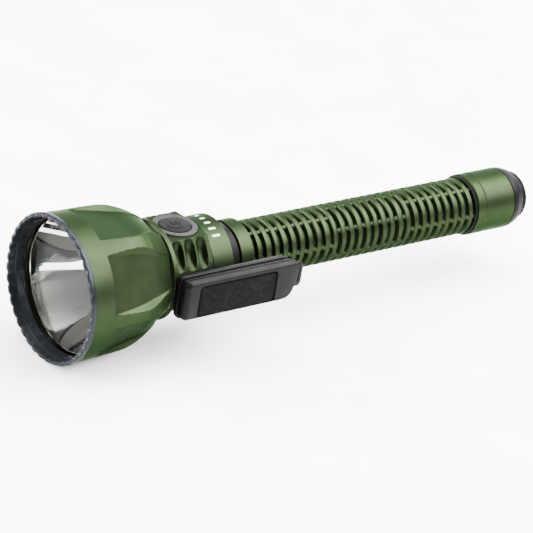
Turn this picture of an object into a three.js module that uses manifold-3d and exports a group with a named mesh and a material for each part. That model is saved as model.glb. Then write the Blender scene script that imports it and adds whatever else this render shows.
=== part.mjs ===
// Long-throw flashlight with a pressure-pad module held on its side. All sizes are in millimetres.
//
// The light lies along X: the beam leaves towards -X, the main switch faces +Z, and the module is on the
// -Y side. The origin is the centre of the tail's contact face. Places along the light are given as
// stations, measured backwards from the front edge of the bezel.

import * as THREE from 'three';
import { mergeVertices } from 'three/addons/utils/BufferGeometryUtils.js';
import Module from 'manifold-3d';

const wasm = await Module();
wasm.setup();

// ---- driving dimensions ----
const overallLength = 339;
const gap = 0.3;

const bezelRadius = 42.5;
const bezelLip = 3.2;
const bezelDepth = 9.4;
const lensThickness = 2;
const focalLength = 8.4;
const apertureRadius = 37.6;
const ledOpening = 6.5;

const headRear = 62.2;
const panelStart = 16;
const panelCount = 6;
const panelSpacing = (2 * Math.PI) / panelCount;

const neckFront = 63;
const neckGroove = 93.5;
const neckRear = 108.3;
const neckRadius = 25.6;
const neckRim = 28.9;
const switchFlat = 24.4;
const switchStation = 80.8;
const switchTravel = 0.7;

const collarRear = 116.9;
const collarRadius = 18.8;
const tubeFront = 117.2;
const ringRear = 126.5;
const ringRadius = 19.5;
const ribRadius = 17.07;
const ribCount = 27;
const ribPitch = 6.115;
const firstRib = 132.1;
const grooveApothem = 14.8;
const tubeRear = 294.2;
const tubeBore = 12.1;
const threadRadius = 14.3;

const capFront = 296.3;
const capRear = 325;
const capRadius = 18.6;
const tailRingRear = 333;
const buttonRadius = 15;
const tailTravel = 1.5;

const moduleFront = 64;
const moduleRear = 145.5;
const moduleBaseRear = 140;
const moduleTop = 11.5;
const moduleBottom = -14.5;
const moduleBack = 29.3;
const moduleSplit = 33.2;
const moduleFace = 39.4;
const padTravel = 1;

// ---- materials ----
const finish = (color, roughness, metalness) => ({ color, roughness, metalness });
const anodised = finish(0x4a6b3c, 0.42, 0.85);
const blackMetal = finish(0x17181a, 0.35, 0.8);
const glass = finish(0xdfe8ea, 0.05, 0);
const mirror = finish(0xd8d8d8, 0.05, 1);
const rubber = finish(0x141414, 0.85, 0);
const polymer = finish(0x2b2b2d, 0.6, 0);
const steel = finish(0xa6a8aa, 0.3, 1);
const brass = finish(0xc9a24a, 0.3, 1);
const circuit = finish(0x14502a, 0.55, 0.1);
const phosphor = finish(0xe5c52e, 0.5, 0);
const whitePlastic = finish(0xe8e6df, 0.6, 0);
const copper = finish(0xb9713f, 0.35, 1);
const cellWrap = finish(0x2f5fa8, 0.5, 0);

const flashlight = new THREE.Group();

// ---- helpers ----

// Turns a geometry into a closed indexed mesh that holds only positions, with its faces pointing out.
function closed(source) {
  const plain = new THREE.BufferGeometry();
  plain.setAttribute('position', source.attributes.position.clone());
  if (source.index) {
    plain.setIndex(source.index.clone());
  }
  const merged = mergeVertices(plain, 1e-4);
  const corner = (i) => new THREE.Vector3().fromBufferAttribute(merged.attributes.position, i);
  const faces = [];
  let volume = 0;
  for (let i = 0; i < merged.index.count; i += 3) {
    const [a, b, c] = [0, 1, 2].map((k) => merged.index.getX(i + k));
    if (a !== b && b !== c && c !== a) {
      faces.push([a, b, c]);
      volume += corner(a).dot(corner(b).cross(corner(c)));
    }
  }
  merged.setIndex((volume < 0 ? faces.map(([a, b, c]) => [a, c, b]) : faces).flat());
  return merged;
}

function toManifold(geometry) {
  const mesh = closed(geometry);
  return new wasm.Manifold(new wasm.Mesh({
    numProp: 3,
    vertProperties: new Float32Array(mesh.attributes.position.array),
    triVerts: new Uint32Array(mesh.index.array),
  }));
}

function fromManifold(solid) {
  const { vertProperties, triVerts } = solid.getMesh();
  const geometry = new THREE.BufferGeometry();
  geometry.setAttribute('position', new THREE.BufferAttribute(new Float32Array(vertProperties), 3));
  geometry.setIndex(new THREE.BufferAttribute(new Uint32Array(triVerts), 1));
  return geometry;
}

function cut(base, cutters) {
  let solid = toManifold(base);
  for (const cutter of cutters) {
    solid = solid.subtract(toManifold(cutter));
  }
  return fromManifold(solid);
}

function add(name, look, geometry) {
  const material = new THREE.MeshStandardMaterial(look);
  const mesh = new THREE.Mesh(closed(geometry), material);
  mesh.name = name;
  flashlight.add(mesh);
  return mesh;
}

// A profile of [place, radius] points turned about the local Y axis. A profile that doesn't begin on the
// axis closes on itself, which makes a ring.
function lathe(profile, sides) {
  const points = profile.map(([place, radius]) => new THREE.Vector2(radius, place));
  if (profile[0][1] > 0) {
    points.push(points[0].clone());
  }
  return new THREE.LatheGeometry(points, sides);
}

// The same, turned about the light's own axis, with the places as stations.
function turned(profile, sides = 24) {
  const geometry = lathe(profile, sides);
  geometry.rotateZ(-Math.PI / 2);
  geometry.translate(-overallLength, 0, 0);
  return geometry;
}

const disc = (front, back, radius) => [[front, 0], [front, radius], [back, radius], [back, 0]];
const ring = (front, back, inner, outer) => [[front, inner], [front, outer], [back, outer], [back, inner]];

// A profile of [height, radius] points turned about the switch's upright axis.
function upright(profile, sides = 24) {
  const geometry = lathe(profile, sides);
  geometry.rotateX(Math.PI / 2);
  geometry.translate(switchStation - overallLength, 0, 0);
  return geometry;
}

// A profile of [depth, radius] points turned about an axis along -Y, through a station and a height.
function sideways(profile, station, height, sides = 16) {
  const geometry = lathe(profile.map(([depth, radius]) => [-depth, radius]), sides);
  geometry.translate(station - overallLength, 0, height);
  return geometry;
}

// Pulls the skin of a turned piece in to a limit that depends on the station and the angle from +Z.
function trim(geometry, limit) {
  const position = geometry.attributes.position;
  for (let i = 0; i < position.count; i += 1) {
    const y = position.getY(i);
    const z = position.getZ(i);
    const radius = Math.hypot(y, z);
    const most = limit(position.getX(i) + overallLength, Math.atan2(-y, z));
    if (radius > most) {
      position.setY(i, (y * most) / radius);
      position.setZ(i, (z * most) / radius);
    }
  }
  return geometry;
}

// The angle from the middle of the nearest of several equally spaced flats.
function fromFlat(angle, spacing, phase = 0) {
  const turns = (angle - phase) / spacing;
  return (turns - Math.round(turns)) * spacing;
}

// A plate with the outline given in stations and heights, between two depths on the -Y side.
function plate(outline, near, far, holes = []) {
  const shape = outline.clone();
  shape.holes.push(...holes);
  const geometry = new THREE.ExtrudeGeometry(shape, { depth: far - near, bevelEnabled: false, curveSegments: 3 });
  geometry.rotateX(Math.PI / 2);
  geometry.translate(-overallLength, -near, 0);
  return geometry;
}

function roundedBox(front, rear, bottom, top, radius) {
  const shape = new THREE.Shape();
  shape.moveTo(front + radius, bottom);
  shape.lineTo(rear - radius, bottom);
  shape.absarc(rear - radius, bottom + radius, radius, -Math.PI / 2, 0, false);
  shape.lineTo(rear, top - radius);
  shape.absarc(rear - radius, top - radius, radius, 0, Math.PI / 2, false);
  shape.lineTo(front + radius, top);
  shape.absarc(front + radius, top - radius, radius, Math.PI / 2, Math.PI, false);
  shape.lineTo(front, bottom + radius);
  shape.absarc(front + radius, bottom + radius, radius, Math.PI, 1.5 * Math.PI, false);
  return shape;
}

function block(front, rear, low, high, bottom, top) {
  const geometry = new THREE.BoxGeometry(rear - front, high - low, top - bottom);
  geometry.translate((front + rear) / 2 - overallLength, (low + high) / 2, (bottom + top) / 2);
  return geometry;
}

// ---- bezel, lens and reflector ----
const lensFront = bezelDepth + 1.8;
const reflectorFront = lensFront + lensThickness + gap;
const vertex = reflectorFront + apertureRadius ** 2 / (4 * focalLength);
const reflectorRear = vertex - ledOpening ** 2 / (4 * focalLength);
const heatSinkFront = reflectorRear + 4.1;
const mirrorRadius = (station) => Math.sqrt(4 * focalLength * (vertex - station));

function buildBezel() {
  add('bezel_ring', blackMetal, turned([
    [0, 40.4],
    [0, 41.9],
    [0.8, bezelRadius],
    [bezelLip, bezelRadius],
    [bezelLip, 39.8],
    [bezelDepth, 39.8],
    [bezelDepth, 38.6],
    [1.2, 39.4],
  ], 36));
  add('lens_oring', rubber, turned(ring(bezelDepth + gap, lensFront - gap, 38.4, 39.7), 36));
  add('lens_glass', glass, turned(disc(lensFront, lensFront + lensThickness, 39.7), 36));
}

function buildReflector() {
  const wall = 1;
  const steps = 7;
  const stations = Array.from({ length: steps + 1 }, (_, i) => {
    return reflectorFront + (reflectorRear - reflectorFront) * (i / steps);
  });
  const inside = stations.map((station) => [station, mirrorRadius(station)]);
  const outside = stations.slice(1).reverse().map((station) => [station, mirrorRadius(station) + wall]);
  const flange = [[reflectorFront + 1.4, mirrorRadius(reflectorFront + 1.4) + wall], [reflectorFront + 1.4, 39.6],
    [reflectorFront, 39.6]];
  add('reflector', mirror, turned([...inside, ...outside, ...flange]));
}

function buildLightSource() {
  add('led_gasket', whitePlastic, turned(ring(reflectorRear + gap, reflectorRear + 1.5, 3.8, 7.2), 16));
  add('led_emitter', phosphor, block(reflectorRear + 1.1, reflectorRear + 2, -2.5, 2.5, -2.5, 2.5));
  add('led_board', copper, turned(disc(reflectorRear + 2.3, heatSinkFront - gap, 10), 16));
}

// ---- head ----
const panelDepth = new THREE.CatmullRomCurve3([
  [panelStart, 38.6], [36, 37.3], [46, 35.2], [57, 30.4], [headRear, 27.6],
].map(([station, radius]) => new THREE.Vector3(station, radius, 0)));

// The distance from the axis of a panel's floor at a station behind the front of the panels.
function panelFloor(station) {
  const steps = 60;
  const points = panelDepth.getSpacedPoints(steps);
  const next = points.findIndex((point) => point.x >= station - 1e-6);
  if (next <= 0) {
    return points[0].y;
  }
  const [a, b] = [points[next - 1], points[next]];
  return a.y + ((b.y - a.y) * (station - a.x)) / (b.x - a.x);
}

function buildHeadShell() {
  const outside = [[bezelLip + gap, 42.2], [panelStart - 0.1, 41.5], [panelStart + 0.1, 41.5], [29, 41.3],
    [41, 40.7], [45, 39.7], [51, 37], [57, 33.7], [headRear, 30.2]];
  const inside = [[headRear, 24.5], [reflectorRear + 2, 24.5], [reflectorRear + 2, 15], [48, 20], [38, 27.2],
    [26, 33.6], [reflectorFront + 1.8, 38], [reflectorFront + 1.8, 40.1], [bezelLip + gap, 40.1]];
  add('head_shell', anodised, trim(turned([...outside, ...inside], 36), (station, angle) => {
    const beforePanels = station < panelStart;
    return beforePanels ? Infinity : panelFloor(station) / Math.cos(fromFlat(angle, panelSpacing));
  }));
}

// ---- neck, the housing behind the head ----
const spigotRadius = 16.7;
const spigotBore = 14.8;

// The neck's section: round, with a flat on top for the switch and sloping shoulders beside it.
function neckLimit(station, angle) {
  const lean = Math.abs(angle);
  const shoulder = lean < Math.PI / 3 ? neckRadius / Math.cos(Math.PI / 3 - lean) : neckRadius;
  const flat = lean < Math.PI / 3 ? switchFlat / Math.cos(lean) : Infinity;
  const shaped = station > neckFront + 4 && station < neckGroove - 0.2;
  return shaped ? Math.min(shoulder, flat) : Infinity;
}

function coolingCuts() {
  const cutRadius = 13.5;
  const cutWidth = 5.2;
  const cutDepth = 3.4;
  const cutAngle = (52.5 * Math.PI) / 180;
  const cuts = [];
  for (const side of [-1, 1]) {
    for (const station of [70.9, 79, 86.9]) {
      const cutter = new THREE.CylinderGeometry(cutRadius, cutRadius, cutWidth, 24);
      cutter.rotateZ(-Math.PI / 2);
      cutter.translate(station - overallLength, 0, neckRadius + cutRadius - cutDepth);
      cutter.rotateX(side * cutAngle);
      cuts.push(cutter);
    }
  }
  return cuts;
}

function buildNeck() {
  const body = trim(turned([
    [heatSinkFront, 6],
    [heatSinkFront, 24.1],
    [neckFront, 24.1],
    [neckFront, 26.6],
    [neckFront + 1.6, neckRim],
    [neckFront + 3.8, neckRim],
    [neckFront + 4.2, neckRim],
    [neckGroove - 0.8, neckRim],
    [neckGroove, 25.1],
    [neckRear - 0.8, 25.1],
    [neckRear, 24.3],
    [neckRear, spigotRadius],
    [collarRear, spigotRadius],
    [collarRear, spigotBore],
    [106, spigotBore],
    [106, 17.3],
    [66, 17.3],
    [66, 6],
  ], 36), neckLimit);
  const seat = upright(disc(19, 30, 13.3), 24);
  const wire = upright(disc(14, 20, 4), 12);
  add('neck_housing', anodised, cut(body, [seat, wire, ...coolingCuts()]));
}

function buildDriver() {
  add('driver_board', circuit, turned(disc(68, 69.6, 16.6), 16));
  add('driver_coil', blackMetal, block(70, 75, -4, 4, -11, -3));
  add('driver_contact', brass, turned(disc(70, 104, 2.5), 12));
  add('driver_retainer', steel, turned(ring(76, 79, 13.5, 16.9), 16));
}

function buildMainSwitch() {
  add('switch_ring', blackMetal, upright([
    [19.3, 10.4], [19.3, 13], [24.9, 13], [25.4, 12.4], [25.2, 9.5], [23.2, 9.4], [23.2, 10.4],
  ]));
  add('switch_board', circuit, upright(disc(19.3, 20.1, 9.9), 16));
  add('switch_dome', steel, upright([[20.4, 0], [20.4, 3], [20.7, 2.6], [21, 0]], 12));
  const seat = 21 + gap + switchTravel;
  add('switch_button', rubber, upright([
    [seat, 0], [seat, 10], [seat + 0.9, 10], [seat + 0.9, 9.1], [25.3, 9.1], [25.6, 8.6], [25.8, 0],
  ]));
}

function buildCollar() {
  add('neck_collar', blackMetal, turned([
    [neckRear + gap, spigotRadius + gap],
    [neckRear + gap, collarRadius],
    [collarRear - 0.6, collarRadius],
    [collarRear, collarRadius - 0.6],
    [collarRear, spigotRadius + gap],
  ]));
}

// ---- grip tube and the battery in it ----

// The grooves between the ribs are six-sided. The corners, which stand level with the ribs, change place
// from one third of the grip to the next.
function grooveLimit(station, angle) {
  const index = Math.round((station - firstRib) / ribPitch - 0.5);
  const middle = firstRib + (index + 0.5) * ribPitch;
  if (Math.abs(station - middle) > 0.2 || index < -1 || index >= ribCount) {
    return Infinity;
  }
  const thirds = Math.floor(Math.max(index, 0) / 9);
  const phase = thirds === 1 ? Math.PI / 6 : 0;
  return grooveApothem / Math.cos(fromFlat(angle, Math.PI / 3, phase));
}

function buildTube() {
  const outside = [[107, threadRadius], [112.6, threadRadius], [112.6, 13.2], [115, 13.2], [115, threadRadius],
    [tubeFront, threadRadius], [tubeFront, ringRadius - 0.5], [tubeFront + 0.5, ringRadius], [ringRear, ringRadius],
    [ringRear, ribRadius]];
  for (let i = 0; i < ribCount - 1; i += 1) {
    const middle = firstRib + (i + 0.5) * ribPitch;
    outside.push([middle - 1.5, ribRadius], [middle, ribRadius], [middle + 1.5, ribRadius]);
  }
  outside.push([tubeRear, ribRadius], [tubeRear, threadRadius], [296.9, threadRadius], [296.9, 13.2],
    [299.3, 13.2], [299.3, threadRadius], [307, threadRadius]);
  add('grip_tube', anodised, trim(turned([[107, tubeBore], ...outside, [307, tubeBore]]), grooveLimit));
  add('front_oring', rubber, turned(ring(112.9, 114.7, 13.5, 14.5)));
  add('rear_oring', rubber, turned(ring(297.2, 299, 13.5, 14.7)));
  add('tail_seal', rubber, turned(ring(tubeRear + gap, capFront - gap, 14.7, 17.6)));
}

function buildBattery() {
  const front = 110;
  const rear = 300;
  const cell = 90;
  add('battery_sleeve', cellWrap, turned(ring(front + 2, rear - 2, 11.2, 11.7), 16));
  add('battery_front_cap', brass, turned([
    [front - 4.5, 0], [front - 4.5, 3], [front, 3], [front, 11.7], [front + 1.7, 11.7], [front + 1.7, 0],
  ], 16));
  add('battery_rear_cap', brass, turned([
    [rear - 1.7, 0], [rear - 1.7, 11.7], [rear, 11.7], [rear, 0],
  ], 16));
  for (const [name, start] of [['battery_cell_front', front + 3], ['battery_cell_rear', front + 97]]) {
    add(name, steel, turned(disc(start, start + cell, 10.8), 16));
  }
}

// ---- tail ----
function springGeometry(front, rear, radius, turns) {
  class Helix extends THREE.Curve {
    getPoint(t, target = new THREE.Vector3()) {
      const angle = t * turns * 2 * Math.PI;
      const x = front + (rear - front) * t - overallLength;
      return target.set(x, radius * Math.cos(angle), radius * Math.sin(angle));
    }
  }
  const wire = new THREE.Shape();
  wire.absarc(0, 0, 0.45, 0, 2 * Math.PI, false);
  return new THREE.ExtrudeGeometry(wire, {
    steps: turns * 8, curveSegments: 4, extrudePath: new Helix(), bevelEnabled: false,
  });
}

function buildTailCap() {
  add('tail_cap', anodised, turned([
    [capFront, 15.1],
    [capFront, capRadius - 0.5],
    [capFront + 0.5, capRadius],
    [302.2, capRadius],
    [302.5, capRadius - 0.4],
    [302.8, capRadius],
    [capRear, capRadius],
    [capRear, 16.4],
    [321, 16.4],
    [321, 15],
    [317.4, 15],
    [317.4, 13.2],
    [310, 13.2],
    [310, 15.1],
  ]));
  add('tail_spring', steel, springGeometry(300.9, 316.6, 5, 4));
  add('tail_board', circuit, turned(disc(317.7, 319.3, 14.7), 16));
  add('tail_dome', steel, turned([[319.6, 0], [319.6, 3.5], [320, 3], [320.4, 0]], 12));
  add('tail_ring', blackMetal, turned([
    [capRear + gap, 16],
    [capRear + gap, capRadius],
    [capRear + 3, capRadius - 0.2],
    [tailRingRear - 0.4, 17],
    [tailRingRear, 16.5],
    [tailRingRear, buttonRadius + 0.4],
    [capRear + 3.9, buttonRadius + 0.4],
    [capRear + 3.9, 16],
  ]));
}

function buildTailButton() {
  const flangeRear = capRear + 3.6;
  const flangeFront = flangeRear - 1.6;
  add('tail_button', rubber, turned([
    [flangeFront, 0],
    [flangeFront, 15.6],
    [flangeRear, 15.6],
    [flangeRear, buttonRadius],
    [337.8, buttonRadius],
    [overallLength, buttonRadius - 1.2],
    [overallLength, 9.5],
    [336.8, 9.5],
    [336.8, 0],
  ]));
  add('tail_plunger', whitePlastic, turned(disc(320.4 + gap + tailTravel, flangeFront - gap, 4), 12));
  add('charge_ring', steel, turned(ring(336.8 + gap, overallLength, 5.6, 9.2), 20));
  add('charge_insulator', whitePlastic, turned(ring(336.8 + gap, overallLength - 0.4, 3.7, 5.3), 16));
  add('charge_contact', brass, turned(disc(336.8 + gap, overallLength, 3.4), 16));
}

// ---- side module ----
const padFront = 74.5;
const padRear = 127;
const padBottom = -11.5;
const padTop = 5.5;
const moduleMiddle = (moduleTop + moduleBottom) / 2;

function moduleOutline(inset, end = moduleRear) {
  const front = moduleFront + inset;
  const rear = end - inset;
  const bottom = moduleBottom + inset;
  const top = moduleTop - inset;
  const corner = 4;
  const shape = new THREE.Shape();
  shape.moveTo(front + corner, bottom);
  shape.lineTo(rear - 9, bottom);
  shape.quadraticCurveTo(rear - 3.5, bottom, rear - 2.6, bottom + 7);
  shape.lineTo(rear, moduleMiddle + 1);
  shape.lineTo(rear, top - corner);
  shape.absarc(rear - corner, top - corner, corner, 0, Math.PI / 2, false);
  shape.lineTo(front + corner, top);
  shape.absarc(front + corner, top - corner, corner, Math.PI / 2, Math.PI, false);
  shape.lineTo(front, bottom + corner);
  shape.absarc(front + corner, bottom + corner, corner, Math.PI, 1.5 * Math.PI, false);
  return shape;
}

function buildSaddle() {
  const foot = block(70, 104, -(moduleBack - gap), -22, moduleMiddle - 8, moduleMiddle + 8);
  const seat = turned(disc(60, 112, neckRadius + gap), 36);
  add('module_saddle', polymer, cut(foot, [seat]));
}

function buildModule() {
  const wall = 1.2;
  const tray = plate(moduleOutline(0, moduleBaseRear), moduleBack, moduleSplit);
  const hollow = plate(moduleOutline(wall, moduleBaseRear), moduleBack + wall, moduleSplit + 1);
  add('module_base', polymer, cut(tray, [hollow]));

  const faceThickness = 2;
  const shell = plate(moduleOutline(0.6), moduleSplit + gap, moduleFace - 1.6);
  const bevel = plate(moduleOutline(2.2), moduleFace - 2.6, moduleFace);
  const inside = plate(moduleOutline(wall + 1.2), moduleSplit - 1, moduleFace - faceThickness);
  const window = plate(roundedBox(padFront, padRear, padBottom, padTop, 2.5), moduleSplit, moduleFace + 1);
  const joined = fromManifold(toManifold(shell).add(toManifold(bevel)));
  add('module_frame', polymer, cut(joined, [inside, window]));

  const rest = padTravel + gap;
  const pad = plate(roundedBox(padFront + 0.4, padRear - 0.4, padBottom + 0.4, padTop - 0.4, 2.2),
    moduleFace - 3.4, moduleFace - 0.2);
  const lip = plate(roundedBox(padFront - 1, padRear + 1, padBottom - 0.2, padTop + 1, 2.2),
    moduleFace - 3.4, moduleFace - faceThickness - gap);
  add('pressure_pad', rubber, fromManifold(toManifold(pad).add(toManifold(lip))));

  const boardFace = moduleFace - 3.4 - rest;
  add('module_board', circuit, plate(roundedBox(68, 128, -11.5, 7.5, 2), boardFace - 1, boardFace));
  add('coin_cell', steel, sideways([[30.8, 0], [30.8, 10], [33.3, 10], [33.3, 0]], 100, moduleMiddle, 20));
  for (const [name, station] of [['module_magnet_front', 78], ['module_magnet_rear', 124]]) {
    add(name, steel, sideways([[30.8, 0], [30.8, 4], [32.8, 4], [32.8, 0]], station, moduleMiddle));
  }
}

buildBezel();
buildReflector();
buildLightSource();
buildHeadShell();
buildNeck();
buildDriver();
buildMainSwitch();
buildCollar();
buildTube();
buildBattery();
buildTailCap();
buildTailButton();
buildSaddle();
buildModule();

export default flashlight;
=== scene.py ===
import math

import bmesh
import bpy
import numpy as np
from mathutils import Matrix, Vector


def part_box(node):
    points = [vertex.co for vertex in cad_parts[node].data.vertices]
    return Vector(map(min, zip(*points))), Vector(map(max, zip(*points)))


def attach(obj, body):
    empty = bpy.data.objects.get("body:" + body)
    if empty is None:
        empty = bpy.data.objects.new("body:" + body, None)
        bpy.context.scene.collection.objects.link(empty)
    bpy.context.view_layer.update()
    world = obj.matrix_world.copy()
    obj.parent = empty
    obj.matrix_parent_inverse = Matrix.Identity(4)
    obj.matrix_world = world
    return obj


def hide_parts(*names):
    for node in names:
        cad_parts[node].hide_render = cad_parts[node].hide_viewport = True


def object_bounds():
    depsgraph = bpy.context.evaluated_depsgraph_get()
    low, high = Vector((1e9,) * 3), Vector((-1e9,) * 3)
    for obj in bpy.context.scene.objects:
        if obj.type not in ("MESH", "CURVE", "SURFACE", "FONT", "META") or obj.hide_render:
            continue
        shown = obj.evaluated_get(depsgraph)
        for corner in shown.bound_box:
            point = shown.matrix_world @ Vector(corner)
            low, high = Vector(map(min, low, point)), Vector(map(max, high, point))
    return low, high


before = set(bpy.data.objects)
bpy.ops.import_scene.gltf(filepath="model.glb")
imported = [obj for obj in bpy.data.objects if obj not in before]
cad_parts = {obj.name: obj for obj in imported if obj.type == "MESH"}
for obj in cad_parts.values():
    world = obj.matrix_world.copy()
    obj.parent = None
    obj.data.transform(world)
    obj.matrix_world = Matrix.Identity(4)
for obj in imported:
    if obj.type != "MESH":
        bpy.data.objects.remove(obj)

# The light lies along X. Places along it are stations: millimetres behind the bezel's front edge.
# Angles around it run from +Z (the main switch) towards -Y (the side module).
CAD_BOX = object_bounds()
MM = 0.001
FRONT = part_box("bezel_ring")[0].x


def station(x):
    return (x - FRONT) / MM


def span(node):
    """First and last station of a CAD node, and how far it reaches from the axis, in millimetres."""
    low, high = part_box(node)
    return station(low.x), station(high.x), max(abs(low.z), abs(high.z)) / MM


# ---------------------------------------------------------------- camera

CAMERA_LENS = 190.1
CAMERA_RIGHT = Vector((0.7921, -0.5924, 0.1477)).normalized()
CAMERA_FORWARD = Vector((0.5869, 0.6722, -0.4513)).normalized()
CAMERA_PLACE = Vector((FRONT - 0.7987, -1.0893, 0.7166))


def make_camera():
    """A long lens in front of the bezel, above and to the module's side, rolled with the light."""
    data = bpy.data.cameras.new("camera")
    data.sensor_width = 36
    data.lens = CAMERA_LENS
    data.clip_end = 50
    camera = bpy.data.objects.new("camera", data)
    bpy.context.scene.collection.objects.link(camera)
    up = CAMERA_RIGHT.cross(CAMERA_FORWARD).normalized()
    turn = Matrix((CAMERA_RIGHT, up, -CAMERA_FORWARD)).transposed().to_4x4()
    camera.matrix_world = Matrix.Translation(CAMERA_PLACE) @ turn
    bpy.context.scene.camera = camera


# ---------------------------------------------------------------- mesh helpers

def link(name, mesh):
    piece = bpy.data.objects.new(name, mesh)
    bpy.context.scene.collection.objects.link(piece)
    return piece


def tidy(mesh, crease=32):
    """Faces out, smooth shading, and sharp edges where the surface turns by more than crease degrees."""
    work = bmesh.new()
    work.from_mesh(mesh)
    bmesh.ops.remove_doubles(work, verts=work.verts, dist=1e-7)
    bmesh.ops.recalc_face_normals(work, faces=work.faces)
    work.to_mesh(mesh)
    work.free()
    mesh.polygons.foreach_set("use_smooth", [True] * len(mesh.polygons))
    mesh.set_sharp_from_angle(angle=math.radians(crease))


def fillet(outline, radius, closed):
    """Rounds the corners of an outline of [place, radius] points with short curves."""
    points = [np.array(p[:2], float) for p in outline]
    count = len(points)
    result = []
    for i, point in enumerate(points):
        if not closed and i in (0, count - 1):
            result.append(point)
            continue
        before = points[i - 1] - point
        after = points[(i + 1) % count] - point
        cut = min(radius, 0.45 * np.linalg.norm(before), 0.45 * np.linalg.norm(after))
        start = point + before / np.linalg.norm(before) * cut
        end = point + after / np.linalg.norm(after) * cut
        for t in (0, 0.33, 0.67, 1):
            result.append((1 - t) ** 2 * start + 2 * t * (1 - t) * point + t * t * end)
    return result


def divide(points, step, closed):
    """Adds points so that no stretch of the outline is longer than step."""
    result = []
    pairs = zip(points, points[1:] + points[:1]) if closed else zip(points, points[1:])
    for a, b in pairs:
        parts = max(1, math.ceil(np.linalg.norm(b - a) / step))
        result += [a + (b - a) * i / parts for i in range(parts)]
    return result if closed else result + [points[-1]]


def grid_faces(rows, columns, closed):
    faces = []
    for i in range(rows if closed else rows - 1):
        a, b = i * columns, (i + 1) % rows * columns
        faces += [(a + j, a + (j + 1) % columns, b + (j + 1) % columns, b + j) for j in range(columns)]
    return faces


def about_light_axis(along, across, up):
    """Placing for pieces turned about the light's own axis."""
    return np.stack([FRONT + along * MM, -across * MM, up * MM], -1)


def upright(centre_x):
    """Placing for pieces turned about the main switch's axis, with heights above the light's axis."""
    def place(along, across, up):
        return np.stack([centre_x + across * MM, up * MM, along * MM], -1)
    return place


def revolve(name, outline, sides=192, rounding=0.25, step=1e9, shape=None, place=about_light_axis,
            inside=(), crease=32):
    """A turned piece. The outline is [place, radius] points. It closes unless it starts on the axis.

    inside continues the outline without rounding or extra points. shape(along, angle, radius) may change
    the grid of places and radii. place(along, across, up) turns local millimetres into a point: along the
    axis, and two directions across it.
    """
    closed = outline[0][1] > 0
    loop = closed and not inside
    points = divide(fillet(outline, rounding, loop), step, loop) + [np.array(p, float) for p in inside]
    along = np.array([p[0] for p in points])[:, None]
    radius = np.array([p[1] for p in points])[:, None]
    angle = np.arange(sides)[None, :] * 2 * math.pi / sides
    along = np.repeat(along, sides, 1)
    radius = np.repeat(radius, sides, 1)
    angle = np.repeat(angle, len(points), 0)
    if shape:
        along, radius = shape(along, angle, radius)
    grid = place(along, radius * np.sin(angle), radius * np.cos(angle))
    mesh = bpy.data.meshes.new(name)
    mesh.from_pydata(grid.reshape(-1, 3).tolist(), [], grid_faces(len(points), sides, closed))
    tidy(mesh, crease)
    return link(name, mesh)


def settle(piece, body, slot, material, *nodes):
    """Gives a piece its material and the body it rides on, and hides the CAD nodes it stands for. The slot
    is not used.
    """
    piece.data.materials.clear()
    piece.data.materials.append(material)
    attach(piece, body)
    if nodes:
        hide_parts(*nodes)
    return piece


def subtract(piece, cutter):
    """Cuts one closed mesh out of another and removes the cutter."""
    modifier = piece.modifiers.new("cut", "BOOLEAN")
    modifier.object = cutter
    modifier.operation = "DIFFERENCE"
    modifier.solver = "EXACT"
    evaluated = piece.evaluated_get(bpy.context.evaluated_depsgraph_get())
    mesh = bpy.data.meshes.new_from_object(evaluated)
    piece.modifiers.clear()
    piece.data = mesh
    bpy.data.objects.remove(cutter)
    tidy(mesh)


def from_flat(angle, spacing, phase=0.0):
    """The angle from the middle of the nearest of several equally spaced flats."""
    return (angle - phase + spacing / 2) % spacing - spacing / 2


def soft_min(a, b, width):
    """The smaller of two surfaces, with the corner between them rounded over about width."""
    gap = np.abs(a - b) / width
    return np.minimum(a, b) - width * np.log1p(np.exp(-np.minimum(gap, 40)))


def smooth_interp(x, table):
    """A smooth curve through a few [x, y] points, with the slopes of their neighbours."""
    px, py = np.array(table, float).T
    slope = np.gradient(py, px)
    i = np.clip(np.searchsorted(px, x) - 1, 0, len(px) - 2)
    width = px[i + 1] - px[i]
    t = np.clip((x - px[i]) / width, 0, 1)
    a = (1 + 2 * t) * (1 - t) ** 2 * py[i] + t * (1 - t) ** 2 * width * slope[i]
    b = t * t * (3 - 2 * t) * py[i + 1] + t * t * (t - 1) * width * slope[i + 1]
    return a + b


# ---------------------------------------------------------------- materials

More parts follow.
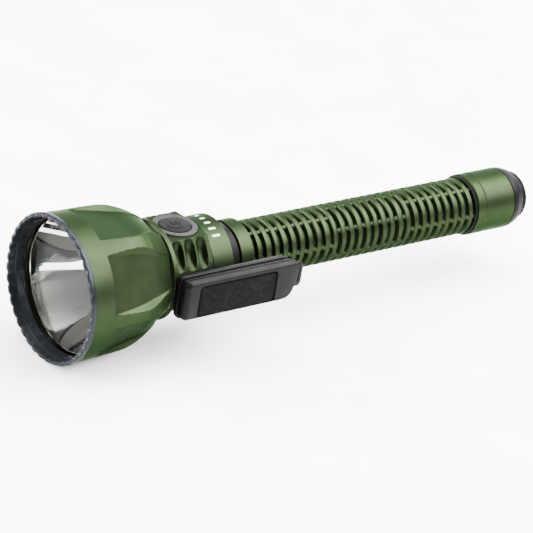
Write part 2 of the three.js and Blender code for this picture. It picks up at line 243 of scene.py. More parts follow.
class Nodes:
    """Shorthand for building one material."""

    def __init__(self, name):
        self.material = bpy.data.materials.new(name)
        self.material.use_nodes = True
        self.tree = self.material.node_tree
        self.shader = self.tree.nodes["Principled BSDF"]
        self.coordinates = self.add("ShaderNodeTexCoord").outputs["Object"]

    def add(self, kind, **inputs):
        node = self.tree.nodes.new(kind)
        for key, value in inputs.items():
            node.inputs[key.replace("_", " ")].default_value = value
        return node

    def join(self, output, target):
        self.tree.links.new(output, target)

    def scaled(self, scale):
        mapping = self.add("ShaderNodeMapping", Scale=scale)
        self.join(self.coordinates, mapping.inputs["Vector"])
        return mapping.outputs["Vector"]

    def noise(self, scale, detail=3.0, stretch=None):
        node = self.add("ShaderNodeTexNoise", Scale=scale, Detail=detail)
        self.join(self.scaled(stretch) if stretch else self.coordinates, node.inputs["Vector"])
        return node.outputs["Fac"]

    def spread(self, factor, low, high, start=0.3, end=0.7):
        """Maps a grey pattern to the range from low to high."""
        node = self.add("ShaderNodeMapRange", From_Min=start, From_Max=end, To_Min=low, To_Max=high)
        self.join(factor, node.inputs["Value"])
        return node.outputs["Result"]

    def blend(self, factor, a, b):
        node = self.tree.nodes.new("ShaderNodeMix")
        node.data_type = "RGBA"
        self.join(factor, node.inputs["Factor"])
        for index, value in ((6, a), (7, b)):
            if isinstance(value, tuple):
                node.inputs[index].default_value = (*value, 1)
            else:
                self.join(value, node.inputs[index])
        return node.outputs[2]

    def edges(self, low, high):
        """White on sharp outer edges, where edge highlights are painted."""
        pointed = self.add("ShaderNodeNewGeometry").outputs["Pointiness"]
        return self.spread(pointed, 0, 1, low, high)

    def bump(self, height, strength, distance, below=None):
        node = self.add("ShaderNodeBump", Strength=strength, Distance=distance)
        self.join(height, node.inputs["Height"])
        if below is not None:
            self.join(below, node.inputs["Normal"])
        return node.outputs["Normal"]

    def set(self, **values):
        for key, value in values.items():
            socket = self.shader.inputs[key.replace("_", " ")]
            if isinstance(value, bpy.types.NodeSocket):
                self.join(value, socket)
            else:
                socket.default_value = (*value, 1) if isinstance(value, tuple) else value
        return self.material


def anodised():
    """Green satin anodising: fine grain, faint turning marks and painted highlights on sharp edges."""
    n = Nodes("anodised_green")
    cloud = n.noise(45, 4)
    colour = n.blend(n.spread(cloud, 0, 1), (0.0118, 0.0172, 0.0084), (0.0138, 0.02, 0.0098))
    # painted highlight: sharp edges lightened to a paler green
    with_edge_highlight = n.blend(n.edges(0.54, 0.66), colour, (0.026, 0.036, 0.02))
    grain = n.noise(2600, 2)
    turning = n.noise(700, 2, (6, 0.05, 0.05))
    normal = n.bump(turning, 0.05, 0.00004, n.bump(grain, 0.12, 0.00005))
    rough = n.spread(n.noise(120, 4), 0.36, 0.44)
    return n.set(Base_Color=with_edge_highlight, Metallic=0.85, Roughness=rough, Normal=normal,
                 Specular_IOR_Level=0.05, Specular_Tint=(0.33, 0.42, 0.27))


def black_metal(name, roughness, colour, grain_strength=0.06):
    """Black anodising, with painted highlights on its sharp edges."""
    n = Nodes(name)
    # painted highlight: sharp edges lightened
    with_edge_highlight = n.blend(n.edges(0.54, 0.64), colour, tuple(c * 4 + 0.008 for c in colour))
    normal = n.bump(n.noise(2200, 2), grain_strength, 0.00005)
    rough = n.spread(n.noise(160, 4), roughness - 0.04, roughness + 0.06)
    return n.set(Base_Color=with_edge_highlight, Metallic=0.5, Roughness=rough, Normal=normal, Specular_IOR_Level=0.1,
                 Specular_Tint=(0.25, 0.25, 0.26))


def dark_plastic(name, colour, roughness, grain=1800, strength=0.25, depth=0.00008, gloss=0.03):
    """Moulded polymer or rubber with a spark-eroded grain."""
    n = Nodes(name)
    shade = n.blend(n.spread(n.noise(90, 5), 0, 1), colour, tuple(c * 1.35 for c in colour))
    # painted highlight: sharp edges lightened
    with_edge_highlight = n.blend(n.edges(0.55, 0.68), shade, tuple(c * 2.2 + 0.003 for c in colour))
    normal = n.bump(n.noise(grain, 3), strength, depth)
    rough = n.spread(n.noise(200, 3), roughness - 0.06, roughness + 0.08)
    return n.set(Base_Color=with_edge_highlight, Roughness=rough, Normal=normal, Specular_IOR_Level=gloss)


def pad_rubber():
    """Rubber with a close pattern of short raised grains."""
    n = Nodes("pad_rubber")
    cells = n.add("ShaderNodeTexVoronoi", Scale=1100.0)
    n.join(n.scaled((1, 1, 0.7)), cells.inputs["Vector"])
    height = cells.outputs["Distance"]
    shade = n.blend(n.spread(height, 0, 1, 0.1, 0.6), (0.0026, 0.0026, 0.0027), (0.0007, 0.0007, 0.0008))
    normal = n.bump(height, 0.5, 0.0002, n.bump(n.noise(3000, 2), 0.2, 0.00005))
    rough = n.spread(n.noise(300, 3), 0.55, 0.75)
    return n.set(Base_Color=shade, Roughness=rough, Normal=normal, Specular_IOR_Level=0.03)


def mirror():
    """Vacuum-coated reflector with a trace of haze."""
    n = Nodes("mirror")
    rough = n.spread(n.noise(60, 4), 0.02, 0.05)
    colour = n.blend(n.noise(30, 3), (0.74, 0.71, 0.68), (0.8, 0.78, 0.76))
    normal = n.bump(n.noise(90, 2), 0.02, 0.0002)
    return n.set(Base_Color=colour, Metallic=1.0, Roughness=rough, Normal=normal)


def glass():
    """Coated glass: the low index stands for the anti-reflective coating."""
    n = Nodes("lens_glass")
    rough = n.spread(n.noise(80, 4), 0.0, 0.015)
    return n.set(Base_Color=(0.97, 0.99, 0.985), Roughness=rough, Transmission_Weight=1.0, IOR=1.07)


def metal(name, colour, roughness):
    """Bright bare metal with fine brushing."""
    n = Nodes(name)
    brushed = n.noise(400, 3, (0.2, 4, 4))
    shade = n.blend(n.spread(brushed, 0, 1), colour, tuple(c * 0.8 for c in colour))
    rough = n.spread(n.noise(150, 4), roughness - 0.05, roughness + 0.1)
    return n.set(Base_Color=shade, Metallic=1.0, Roughness=rough, Normal=n.bump(brushed, 0.08, 0.00005))


def plain(name, colour, roughness, grain=900):
    """Moulded or printed matter with a slight mottle."""
    n = Nodes(name)
    shade = n.blend(n.spread(n.noise(grain / 4, 4), 0, 1), colour, tuple(c * 0.85 for c in colour))
    rough = n.spread(n.noise(grain / 3, 3), roughness - 0.05, roughness + 0.08)
    return n.set(Base_Color=shade, Roughness=rough, Normal=n.bump(n.noise(grain, 3), 0.15, 0.00005))


GREEN = anodised()
BLACK = black_metal("black_gloss_metal", 0.24, (0.012, 0.0135, 0.0155))
BLACK_SATIN = black_metal("black_satin_metal", 0.42, (0.004, 0.004, 0.0043), 0.2)
RING_GREY = black_metal("switch_ring_metal", 0.45, (0.022, 0.022, 0.0225), 0.8)
RUBBER = dark_plastic("black_rubber", (0.0022, 0.0022, 0.0023), 0.55)
BUTTON_RUBBER = dark_plastic("button_rubber", (0.0022, 0.0022, 0.0023), 0.55, 2600, 0.2, 0.00005, 0.02)
POLYMER = dark_plastic("module_polymer", (0.0019, 0.0019, 0.002), 0.42, 2400, 0.35, 0.00006, 0.045)
PAD = pad_rubber()
MIRROR = mirror()
GLASS = glass()
STEEL = metal("steel", (0.56, 0.56, 0.57), 0.28)
GOLD = metal("gold_plate", (0.78, 0.57, 0.25), 0.25)
COPPER = metal("copper", (0.7, 0.34, 0.2), 0.3)
BOARD = plain("circuit_board", (0.015, 0.09, 0.035), 0.4)
PHOSPHOR = plain("phosphor", (0.82, 0.62, 0.06), 0.5, 1500)
WHITE = plain("white_plastic", (0.72, 0.7, 0.66), 0.5)
WRAP = plain("cell_wrap", (0.02, 0.07, 0.24), 0.35)
PRINT = plain("white_print", (0.4, 0.4, 0.39), 0.5, 1500)


# ---------------------------------------------------------------- bezel, lens, reflector

SCALLOPS = 40
SCALLOP_DEPTH = 0.9
SCALLOP_REACH = 3.4
BEZEL_LIP = 3.2


def crown(along, angle, radius):
    """Scallops in the bezel's front edge, which fade out behind it."""
    wave = SCALLOP_DEPTH * (1 - np.abs(np.cos(SCALLOPS * angle / 2)) ** 0.7)
    return along + wave * np.clip(1 - along / SCALLOP_REACH, 0, 1), radius


def make_bezel():
    _, depth, outer = span("bezel_ring")
    outline = [[0, 40.2], [0, 41.9], [0.9, outer], [BEZEL_LIP, outer], [BEZEL_LIP, 39.8], [depth, 39.8],
               [depth, 38.5], [4.6, 38.9], [4.2, 39.1]]
    bezel = revolve("bezel_ring_fine", outline, 480, 0.25, 0.45, crown)
    settle(bezel, "head", "black_metal", BLACK, "bezel_ring")


def make_lens():
    front, rear, outer = span("lens_oring")
    seal = [[front, 38.2], [front, outer], [rear, outer], [rear, 38.2]]
    settle(revolve("lens_oring_fine", seal, 192, 0.5), "head", "black_rubber", RUBBER, "lens_oring")
    front, rear, outer = span("lens_glass")
    disc = [[front, 0], [front, outer], [rear, outer], [rear, 0]]
    settle(revolve("lens_glass_fine", disc, 192, 0.3), "head", "lens_glass", GLASS, "lens_glass")


REFLECTOR_APERTURE = 37.6
REFLECTOR_WALL = 0.9
REFLECTOR_FLANGE = 1.4


def make_reflector():
    """A parabola from the aperture to the emitter's hole, with a flange round its mouth."""
    front, rear, rim = span("reflector")
    hole = span("led_gasket")[2] - 0.7
    focal = (REFLECTOR_APERTURE ** 2 - hole ** 2) / (4 * (rear - front))
    vertex = front + REFLECTOR_APERTURE ** 2 / (4 * focal)
    places = front + (rear - front) * np.linspace(0, 1, 60)
    bowl = np.sqrt(4 * focal * (vertex - places))
    inner = [[s, r] for s, r in zip(places, bowl)]
    outer = [[s, r + REFLECTOR_WALL] for s, r in zip(places[:2:-1], bowl[:2:-1])]
    flange = front + REFLECTOR_FLANGE
    rim_points = [[flange, bowl[2] + REFLECTOR_WALL], [flange, rim], [front, rim]]
    reflector = revolve("reflector_fine", inner + outer + rim_points, 256, 0.02)
    settle(reflector, "head", "mirror", MIRROR, "reflector")


def make_light_source():
    front, rear, outer = span("led_gasket")
    gasket = [[front, 3.6], [front, 5.2], [front + 0.5, outer], [rear, outer], [rear, 3.8]]
    settle(revolve("led_gasket_fine", gasket, 96, 0.15), "head", "white_plastic", WHITE, "led_gasket")
    node_look("led_emitter", PHOSPHOR)
    node_look("led_board", COPPER)


# ---------------------------------------------------------------- head

PANELS = 6
PANEL_PHASE = math.radians(4)
PANEL_START = 16
PANEL_FLOOR = [[PANEL_START, 38.2], [39.5, 34.6], [52, 33.0], [58, 30.6], [62.2, 28.2]]
PANEL_HALF_WIDTH = [[PANEL_START, 16.3], [39.5, 13.7], [53, 10.5], [62.2, 8.6]]
PANEL_WALL_SLOPE = 1.5
PANEL_LEAST_RADIUS = 27


def head_panels(along, angle, radius):
    """Flat panels sunk into the head, with sloping walls and slightly rounded edges."""
    across = np.abs(from_flat(angle, 2 * math.pi / PANELS, PANEL_PHASE))
    floor = smooth_interp(along, PANEL_FLOOR)
    half = smooth_interp(along, PANEL_HALF_WIDTH)
    slope = PANEL_WALL_SLOPE
    wall = (floor * slope - half) / (slope * np.cos(across) - np.sin(across))
    limit = -soft_min(-floor / np.cos(across), -wall, 0.12)
    cut = (along > PANEL_START) & (radius > PANEL_LEAST_RADIUS)
    return along, np.where(cut, soft_min(radius, limit, 0.1), radius)


def make_head():
    front, rear, _ = span("head_shell")
    outside = [[front, 42.2], [PANEL_START - 0.05, 41.5], [PANEL_START + 0.05, 41.5], [29, 41.3],
               [38, 40.9], [41, 40.5], [43.6, 39.9], [48.6, 38.1], [53.4, 35.7], [58.2, 33.0],
               [61.4, 31.0], [rear, 30.0]]
    inside = [[rear, 24.5], [56, 24.5], [56, 15], [48, 20], [38, 27.2], [26, 33.2], [15.6, 37.6],
              [15.2, 40.1], [front, 40.1]]
    head = revolve("head_shell_fine", outside, 720, 0.3, 0.4, head_panels, inside=inside, crease=40)
    settle(head, "head", "anodised_green", GREEN, "head_shell")


# ---------------------------------------------------------------- neck

NECK_RADIUS = 25.6
BAND_RADIUS = 25.1
NECK_GROOVE = 93.5
NECK_GROOVE_RADIUS = 24.7
NECK_LEAST_RADIUS = 24.2
SWITCH_FLAT = 24.4
SHOULDER = math.pi / 3
SHOULDER_START = 67
CUT_STATIONS = (70.9, 79, 86.9)
CUT_RADIUS = 13.5
CUT_DEPTH = 3.5
CUT_HALF_WIDTH = 3.4
CUT_ANGLE = math.radians(52.5)
FAR_OUT = 99


def cooling_cut(off, lean):
    """The radius that a cooling cut leaves, off millimetres from its middle, lean radians from the top."""
    cutter = CUT_RADIUS - 0.25 * off - 0.8 * np.maximum(off - 1.6, 0) ** 1.7
    axis_distance = NECK_RADIUS + CUT_RADIUS - CUT_DEPTH
    tilt = np.abs(lean - CUT_ANGLE)
    reach = cutter ** 2 - (axis_distance * np.sin(tilt)) ** 2
    near = axis_distance * np.cos(tilt) - np.sqrt(np.maximum(reach, 0))
    return np.where((off < CUT_HALF_WIDTH) & (reach > 0), near, FAR_OUT)


def neck_shape(along, angle, radius):
    """A round neck with a flat on top, sloping shoulders beside it and lens-shaped cooling cuts in them."""
    lean = np.abs((angle + math.pi) % (2 * math.pi) - math.pi)
    shoulder = NECK_RADIUS / np.cos(np.maximum(SHOULDER - lean, 0))
    flat = np.where(lean < SHOULDER, SWITCH_FLAT / np.cos(np.minimum(lean, SHOULDER)), FAR_OUT)
    limit = np.minimum(shoulder, flat)
    for centre in CUT_STATIONS:
        limit = np.minimum(limit, cooling_cut(np.abs(along - centre), lean))
    outer = radius > NECK_LEAST_RADIUS
    shaped = outer & (along > SHOULDER_START) & (along < NECK_GROOVE - 0.3)
    groove = outer & (np.abs(along - NECK_GROOVE) < 0.3)
    radius = np.where(shaped, np.minimum(radius, limit), radius)
    return along, np.where(groove, np.minimum(radius, NECK_GROOVE_RADIUS), radius)


def make_neck():
    front, rear, _ = span("neck_housing")
    collar_front = span("neck_collar")[0]
    block, band = 28.9, BAND_RADIUS
    outline = [[front, 6], [front, 24.1], [63, 24.1], [63, 26.8], [64.4, block], [66.8, block],
               [67.2, block], [NECK_GROOVE - 1.2, block], [NECK_GROOVE - 0.28, band],
               [NECK_GROOVE + 0.32, band], [94.6, band], [107.6, band], [collar_front - 0.3, 24.4],
               [collar_front - 0.3, 16.7], [rear, 16.7], [rear, 14.8], [106, 14.8], [106, 17.3], [66, 17.3],
               [66, 6]]
    neck = revolve("neck_housing_fine", outline, 540, 0.15, 0.3, neck_shape)
    low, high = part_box("switch_ring")
    centre = (low.x + high.x) / 2
    pocket = [[19, 0], [19, 13.3], [30, 13.3], [30, 0]]
    subtract(neck, revolve("switch_pocket", pocket, 128, 0.01, place=upright(centre)))
    settle(neck, "head", "anodised_green", GREEN, "neck_housing")


def make_collar():
    front, rear, outer = span("neck_collar")
    outline = [[front, 17], [front, outer - 0.2], [front + 0.5, outer], [rear - 0.6, outer],
               [rear, outer - 0.6], [rear, 17]]
    collar = revolve("neck_collar_fine", outline, 192, 0.2)
    settle(collar, "head", "black_metal", BLACK_SATIN, "neck_collar")


BARS = 5
BAR_WIDTH = 3.2
BAR_SPACING = 11.5
FIRST_BAR = 33
PRINT_RADIUS = BAND_RADIUS + 0.01
PRINT_THICKNESS = 0.05


def patch(name, stations, angles):
    """A thin printed mark that lies on the round neck."""
    steps = 6
    places = np.linspace(*stations, steps)
    turns = np.radians(np.linspace(*angles, steps))
    points = []
    for r in (PRINT_RADIUS, PRINT_RADIUS + PRINT_THICKNESS):
        for s in places:
            points += [(FRONT + s * MM, -r * math.sin(a) * MM, r * math.cos(a) * MM) for a in turns]
    faces = []
    size = steps * steps
    for i in range(steps - 1):
        for j in range(steps - 1):
            a = i * steps + j
            quad = (a, a + 1, a + steps + 1, a + steps)
            faces += [quad[::-1], tuple(v + size for v in quad)]
    rim = [*range(steps), *range(2 * steps - 1, size, steps), *range(size - 2, size - steps - 1, -1),
           *range(size - 2 * steps, 0, -steps)]
    faces += [(a, b, b + size, a + size) for a, b in zip(rim, rim[1:] + rim[:1])]
    mesh = bpy.data.meshes.new(name)
    mesh.from_pydata(points, [], faces)
    tidy(mesh)
    return link(name, mesh)


def make_print():
    """A plain printed scale: five bars, each a little shorter than the last."""
    for i in range(BARS):
        extra = 0.35 * (BARS - 1 - i)
        edge = FIRST_BAR - BAR_SPACING * i
        bar = patch(f"neck_mark_{i + 1}", (99.2 - extra, 101.6 + extra), (edge - BAR_WIDTH, edge))
        settle(bar, "head", "white_plastic", PRINT)


# ---------------------------------------------------------------- main switch

def make_switch_ring():
    low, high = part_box("switch_ring")
    outer = (high.x - low.x) / 2 / MM
    bottom, top = low.z / MM, high.z / MM
    outline = [[bottom, 10.4], [bottom, outer], [top - 0.5, outer], [top, outer - 0.6], [top - 0.1, 9.9],
               [top - 0.5, 9.45], [23.2, 9.4], [23.2, 10.4]]
    ring = revolve("switch_ring_fine", outline, 160, 0.12, 0.4, place=upright((low.x + high.x) / 2))
    settle(ring, "head", "black_metal", RING_GREY, "switch_ring")


def make_switch_button():
    low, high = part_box("switch_ring")
    centre = (low.x + high.x) / 2
    low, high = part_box("switch_button")
    base, crest = low.z / MM, high.z / MM
    button = [[base, 0], [base, 10], [base + 0.9, 10], [base + 0.9, 9.1], [crest - 0.6, 9.1],
              [crest - 0.45, 8.2], [crest - 0.32, 4], [crest - 0.3, 0]]
    piece = revolve("switch_button_fine", button, 128, 0.15, 0.5, place=upright(centre))
    settle(piece, "side_button", "black_rubber", BUTTON_RUBBER, "switch_button")
    settle(power_mark(centre, crest - 0.34), "side_button", "black_rubber", BUTTON_RUBBER)


MARK_INNER = 3.2
MARK_OUTER = 4.2
MARK_RISE = 0.32
MARK_GAP = math.radians(34)


def is_inner_wall(face):
    """An upright wall that two blocks of the mark share."""
    shared = [edge for edge in face.edges if len(edge.link_faces) > 2]
    return len(shared) >= 2 and abs(face.normal.z) < 0.5


def power_mark(centre, height):
    """A plain standby sign standing on the button: an open ring and a bar."""
    work = bmesh.new()
    steps = 40
    angles = [MARK_GAP + (2 * math.pi - 2 * MARK_GAP) * i / steps for i in range(steps + 1)]
    for a, b in zip(angles, angles[1:]):
        corners = ((a, MARK_INNER), (b, MARK_INNER), (b, MARK_OUTER), (a, MARK_OUTER))
        add_bar(work, centre, height, [(r * math.sin(angle), r * math.cos(angle)) for angle, r in corners])
    add_bar(work, centre, height, [(-0.5, 0.6), (0.5, 0.6), (0.5, 4.6), (-0.5, 4.6)])
    bmesh.ops.remove_doubles(work, verts=work.verts, dist=1e-7)
    inner = [face for face in work.faces if is_inner_wall(face)]
    bmesh.ops.delete(work, geom=inner, context="FACES_ONLY")
    mesh = bpy.data.meshes.new("switch_mark")
    work.to_mesh(mesh)
    work.free()
    tidy(mesh)
    return link("switch_mark", mesh)


def add_bar(work, centre, height, corners):
    """A small block standing on the button over a four-sided outline."""
    bottom = [work.verts.new((centre + x * MM, y * MM, height * MM)) for x, y in corners]
    top = [work.verts.new((centre + x * MM, y * MM, (height + MARK_RISE) * MM)) for x, y in corners]
    work.faces.new(bottom[::-1])
    work.faces.new(top)
    for i in range(4):
        work.faces.new((bottom[i], bottom[(i + 1) % 4], top[(i + 1) % 4], top[i]))


# ---------------------------------------------------------------- grip tube

RIBS = 27
RIB_PITCH = 6.115
FIRST_RIB = 132.1
RIB_RADIUS = 17.07
GROOVE_APOTHEM = 14.6
GROOVE_HALF_WIDTH = 1.75
GROOVE_FLOOR_HALF = 1.05
GROOVE_WALL = 0.65
GROOVE_PHASE = math.radians(-2.5)
BLOCK_START = 0.77
BLOCK_RAMP = 0.14
BLOCK_HEIGHT = 1.75
PIT_PLACE = 0.68
PIT_REACH = 0.14
PIT_DEPTH = 0.3


def groove_shape(along, angle, radius):
    """Six-sided grooves with a raised block on each corner and a pit beside it.

    corner runs from 0 in the middle of a side to 1 on a corner. The corners change place in the middle
    third of the ribs.
    """
    index = np.round((along - FIRST_RIB) / RIB_PITCH - 0.5)
    middle = FIRST_RIB + (index + 0.5) * RIB_PITCH
    phase = np.where(np.floor(index / 9) == 1, math.pi / 6, 0) + GROOVE_PHASE
    corner = np.abs(from_flat(angle, math.pi / 3, phase)) / (math.pi / 6)
    block = np.clip((corner - BLOCK_START) / BLOCK_RAMP, 0, 1)
    block = BLOCK_HEIGHT * block * block * (3 - 2 * block)
    pit = PIT_DEPTH * np.clip(1 - np.abs(corner - PIT_PLACE) / PIT_REACH, 0, 1)
    floor = GROOVE_APOTHEM + 0.25 * corner ** 2 - pit + block
    off = np.abs(along - middle)
    side = np.clip((off - GROOVE_FLOOR_HALF) / GROOVE_WALL, 0, 1)
    limit = floor + (RIB_RADIUS - floor) * side ** 1.2
    ribbed = (index >= -1) & (index < RIBS) & (radius > 16) & (radius < 17.2)
    return along, np.where(ribbed & (off < GROOVE_HALF_WIDTH), np.minimum(radius, limit), radius)


def make_tube():
    front, rear, flange = span("grip_tube")
    ring_front = span("neck_collar")[1] + 0.3
    cap_front = span("tail_cap")[0]
    bore, thread = 12.1, 14.3
    outside = [[ring_front, flange - 0.4], [ring_front + 0.4, flange], [126.1, flange],
               [126.5, flange - 0.4], [126.5, 17.9], [127.1, 17.9], [127.1, RIB_RADIUS],
               [cap_front - 2.6, RIB_RADIUS], [cap_front - 2.1, RIB_RADIUS - 0.5], [cap_front - 2.1, thread]]
    inside = [[rear, thread], [rear, bore], [front, bore], [front, thread], [ring_front, thread]]
    tube = revolve("grip_tube_fine", outside, 336, 0.15, 0.42, groove_shape, inside=inside)
    settle(tube, "tube", "anodised_green", GREEN, "grip_tube")


def make_seals():
    front, rear, outer = span("tail_seal")
    seal = [[front, 14.7], [front, outer], [rear, outer], [rear, 14.7]]
    settle(revolve("tail_seal_fine", seal, 192, 0.5), "tube", "black_rubber", RUBBER, "tail_seal")
    for name in ("front_oring", "rear_oring"):
        front, rear, outer = span(name)
        ring = [[front, 13.5], [front, outer], [rear, outer], [rear, 13.5]]
        settle(revolve(name + "_fine", ring, 128, 0.8), "tube", "black_rubber", RUBBER, name)


# ---------------------------------------------------------------- tail

CAP_LINE = 302.2
TAIL_BUTTON_RADIUS = 15


def make_tail_cap():
    front, rear, outer = span("tail_cap")
    outline = [[front, 15.1], [front, outer - 0.5], [front + 0.5, outer], [CAP_LINE - 0.3, outer],
               [CAP_LINE, outer - 0.35], [CAP_LINE + 0.5, outer - 0.35], [CAP_LINE + 0.8, outer],
               [rear - 0.3, outer], [rear, outer - 0.3], [rear, 16.4], [321, 16.4], [321, 15], [317.4, 15],
               [317.4, 13.2], [310, 13.2], [310, 15.1]]
    cap = revolve("tail_cap_fine", outline, 240, 0.12, 0.6)
    settle(cap, "cap", "anodised_green", GREEN, "tail_cap")


def make_tail_ring():
    front, rear, outer = span("tail_ring")
    outline = [[front, 16], [front, outer], [front + 3, outer - 0.2], [rear - 0.7, 17.1], [rear, 16.5],
               [rear, 15.4], [front + 3.6, 15.4], [front + 3.6, 16]]
    ring = revolve("tail_ring_fine", outline, 240, 0.25, 0.6)
    settle(ring, "cap", "black_metal", BLACK_SATIN, "tail_ring")


def make_tail_button():
    front, rear, _ = span("tail_button")
    outer = TAIL_BUTTON_RADIUS
    outline = [[front, 0], [front, 15.6], [front + 1.6, 15.6], [front + 1.6, outer], [rear - 3.4, outer],
               [rear - 3.1, outer - 0.35], [rear - 2.6, outer - 0.35], [rear - 2.3, outer - 0.05],
               [rear - 1.3, outer - 0.35], [rear - 0.35, outer - 1.1], [rear, outer - 2], [rear, 9.5],
               [rear - 2.2, 9.5], [rear - 2.2, 0]]
    button = revolve("tail_button_fine", outline, 192, 0.25, 0.6)
    settle(button, "tail_switch", "black_rubber", RUBBER, "tail_button")


def make_charge_contacts():
    contacts = (("charge_ring", 5.6, "steel", STEEL), ("charge_insulator", 3.7, "white_plastic", WHITE),
                ("charge_contact", 0, "brass", GOLD))
    for name, inner, slot, look in contacts:
        front, rear, outer = span(name)
        outline = [[front, inner], [front, outer], [rear, outer], [rear, inner]]
        settle(revolve(name + "_fine", outline, 128, 0.3, 0.8), "tail_switch", slot, look, name)


# ---------------------------------------------------------------- side module

MODULE_FRONT = 64.0
MODULE_REAR = 145.5
MODULE_BOTTOM = -14.5
MODULE_TOP = 11.5
MODULE_CORNER = 4
MODULE_REAR_CORNER = 7.5
WINDOW = (74.3, 127.6, -12.4, 6.9)


def arc(centre, radius, start, end, steps):
    angles = [math.radians(start + (end - start) * i / steps) for i in range(steps + 1)]
    return [(centre[0] + radius * math.cos(a), centre[1] + radius * math.sin(a)) for a in angles]


def module_outline(inset, rear_inset):
    """The module's rounded outline, as stations and heights, always with the same number of points."""
    front, rear = MODULE_FRONT + inset, MODULE_REAR - inset - rear_inset
    bottom, top = MODULE_BOTTOM + inset, MODULE_TOP - inset
    corner = max(MODULE_CORNER - inset * 0.5, 1.5)
    rear_corner = MODULE_REAR_CORNER - inset * 0.5
    lower = arc((front + corner, bottom + corner), corner, 180, 270, 12)
    lower += arc((rear - 2.2 - rear_corner, bottom + rear_corner), rear_corner, 270, 345, 12)
    upper = arc((rear - corner, top - corner), corner, 0, 90, 12)
    upper += arc((front + corner, top - corner), corner, 90, 180, 12)
    return lower + [(rear - 0.2, (bottom + top) / 2 - 0.5)] + upper


def rounded_outline(front, rear, bottom, top, radius):
    points = arc((front + radius, bottom + radius), radius, 180, 270, 10)
    points += arc((rear - radius, bottom + radius), radius, 270, 360, 10)
    points += arc((rear - radius, top - radius), radius, 0, 90, 10)
    return points + arc((front + radius, top - radius), radius, 90, 180, 10)


def grown(sides, by, radius):
    """A rounded outline with its front, rear, bottom and top moved out."""
    front, rear, bottom, top = sides
    return rounded_outline(front - by, rear + by, bottom - by, top + by, radius)


def stack(name, layers, crease=32):
    """A closed body through matching outlines at several depths on the -Y side."""
    points = []
    count = len(layers[0][1])
    for depth, outline in layers:
        points += [(FRONT + s * MM, -depth * MM, z * MM) for s, z in outline]
    faces = grid_faces(len(layers), count, False)
    faces += [tuple(range(count)), tuple(range((len(layers) - 1) * count, len(layers) * count))]
    mesh = bpy.data.meshes.new(name)
    mesh.from_pydata(points, [], faces)
    tidy(mesh, crease)
    return link(name, mesh)


def depth_span(node):
    low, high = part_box(node)
    return -high.y / MM, -low.y / MM


def rear_slope(depth, face):
    """How much shorter the module is behind its face: its rear end leans towards the tube."""
    return 0.6 + 0.85 * (face - depth)


def make_module_base():
    back, split = depth_span("module_base")
    face = depth_span("module_frame")[1]
    layers = [(back, 1.3), (back + 0.3, 0.6), (back + 1.0, 0.15), (back + 1.5, 0.0), (split - 0.5, 0.0),
              (split, 0.35)]
    outlines = [(d, module_outline(i, rear_slope(d, face))) for d, i in layers]
    base = stack("module_base_fine", outlines, 50)
    settle(base, "module", "black_polymer", POLYMER, "module_base", "coin_cell", "module_board",
           "module_magnet_front", "module_magnet_rear")


def make_module_frame():
    """The frame has two fine grooves round its sides, a bevel to its face and a window for the pad."""
    back, face = depth_span("module_frame")
    layers = [(back, 1.4), (back + 0.25, 0.75), (back + 0.8, 0.65), (back + 0.95, 1.25),
              (back + 1.25, 1.25), (back + 1.4, 0.65), (back + 2.35, 0.7), (back + 2.5, 1.25),
              (back + 2.8, 1.25), (back + 2.95, 0.75), (face - 1.9, 0.95), (face - 0.35, 2.2),
              (face - 0.1, 2.5), (face, 2.9)]
    shell = stack("module_frame_fine", [(d, module_outline(i, rear_slope(d, face))) for d, i in layers], 50)
    window = ((face - 4.9, 0), (face - 0.5, 0), (face + 0.2, 0.55))
    subtract(shell, stack("window", [(d, grown(WINDOW, g, 2.5 + g)) for d, g in window]))
    settle(shell, "module", "black_polymer", POLYMER, "module_frame")


def make_pad():
    face = depth_span("module_frame")[1]
    layers = [(face - 3.4, 0.4), (face - 1.2, 0.4), (face - 0.75, 0.5), (face - 0.45, 0.9),
              (face - 0.35, 1.6)]
    pad = stack("pressure_pad_fine", [(d, grown(WINDOW, -g, max(2.6 - g, 0.9))) for d, g in layers], 50)
    settle(pad, "pad", "black_rubber", PAD, "pressure_pad")
    node_look("module_saddle", POLYMER)


LOOP = (139, 147.8, -7.5, 8)
LOOP_SLOT = (143, 145.9, -4.5, 5.6)


def make_loop():
    """The lanyard loop on the module's rear end: a flat bow with a narrow slot."""
    face = depth_span("module_frame")[1]
    bow = [(face - 4.6, 0.35), (face - 4.4, 0), (face - 3.2, 0), (face - 3.0, 0.35)]
    loop = stack("module_loop", [(d, grown(LOOP, -g, 3)) for d, g in bow], 50)
    slot = stack("slot", [(d, grown(LOOP_SLOT, 0, 1.2)) for d in (face - 5, face - 2.6)])
    subtract(loop, slot)
    settle(loop, "module", "black_polymer", POLYMER)


# ---------------------------------------------------------------- inner pieces keep their CAD shape

def node_look(name, material):
    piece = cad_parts[name]
    piece.data.materials.clear()
    piece.data.materials.append(material)
    piece.data.polygons.foreach_set("use_smooth", [True] * len(piece.data.polygons))
    piece.data.set_sharp_from_angle(angle=math.radians(30))


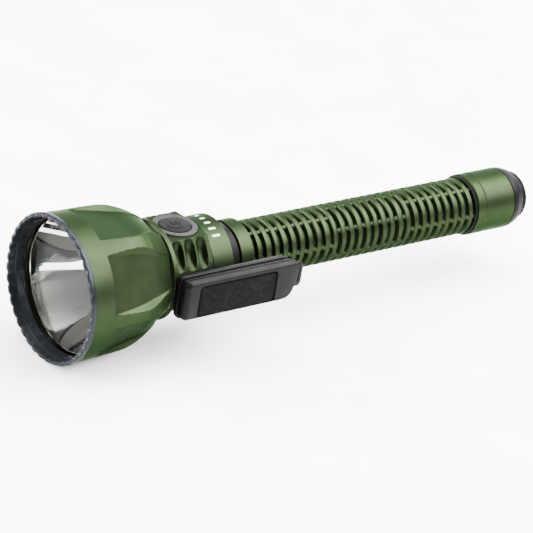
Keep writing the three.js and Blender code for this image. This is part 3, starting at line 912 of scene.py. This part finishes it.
INNER = {
    "driver_board": BOARD, "driver_coil": BLACK_SATIN, "driver_contact": GOLD, "driver_retainer": STEEL,
    "switch_board": BOARD, "switch_dome": STEEL, "battery_sleeve": WRAP, "battery_front_cap": GOLD,
    "battery_rear_cap": GOLD, "battery_cell_front": STEEL, "battery_cell_rear": STEEL, "tail_spring": STEEL,
    "tail_board": BOARD, "tail_dome": STEEL, "tail_plunger": WHITE,
}


# ---------------------------------------------------------------- floor and light

FLOOR_HALF = 6
LIGHT_TARGET = Vector((-0.2, 0, 0))


def make_stage():
    low = CAD_BOX[0][2]
    mesh = bpy.data.meshes.new("floor")
    corners = ((-1, -1), (1, -1), (1, 1), (-1, 1))
    mesh.from_pydata([(x * FLOOR_HALF, y * FLOOR_HALF, low) for x, y in corners], [], [(0, 1, 2, 3)])
    floor = link("floor", mesh)
    floor.data.materials.append(plain("floor_paper", (0.93, 0.93, 0.93), 0.9, 60))


def area_light(name, place, size, power):
    data = bpy.data.lights.new(name, "AREA")
    data.shape = "RECTANGLE"
    data.size, data.size_y = size
    data.energy = power
    light = bpy.data.objects.new(name, data)
    bpy.context.scene.collection.objects.link(light)
    turn = (LIGHT_TARGET - Vector(place)).to_track_quat("-Z", "Y")
    light.matrix_world = Matrix.Translation(place) @ turn.to_matrix().to_4x4()


def make_lights():
    world = bpy.data.worlds.new("world")
    world.use_nodes = True
    background = world.node_tree.nodes["Background"]
    background.inputs["Color"].default_value = (1, 1, 1, 1)
    background.inputs["Strength"].default_value = 0.2
    bpy.context.scene.world = world
    area_light("key", (0.77, -0.62, 1.1), (2.4, 0.9), 230)
    area_light("overhead", (0.1, 0.25, 1.7), (2.6, 1.6), 250)
    area_light("back", (1.15, 1.35, 0.62), (2.2, 1.0), 95)
    area_light("front", (-1.7, 0.75, 0.55), (1.5, 0.9), 230)


make_camera()
make_bezel()
make_lens()
make_reflector()
make_light_source()
make_head()
make_neck()
make_collar()
make_print()
make_switch_ring()
make_switch_button()
make_tube()
make_seals()
make_tail_cap()
make_tail_ring()
make_tail_button()
make_charge_contacts()
make_module_base()
make_module_frame()
make_pad()
make_loop()
for inner_name, inner_look in INNER.items():
    node_look(inner_name, inner_look)
make_stage()
make_lights()
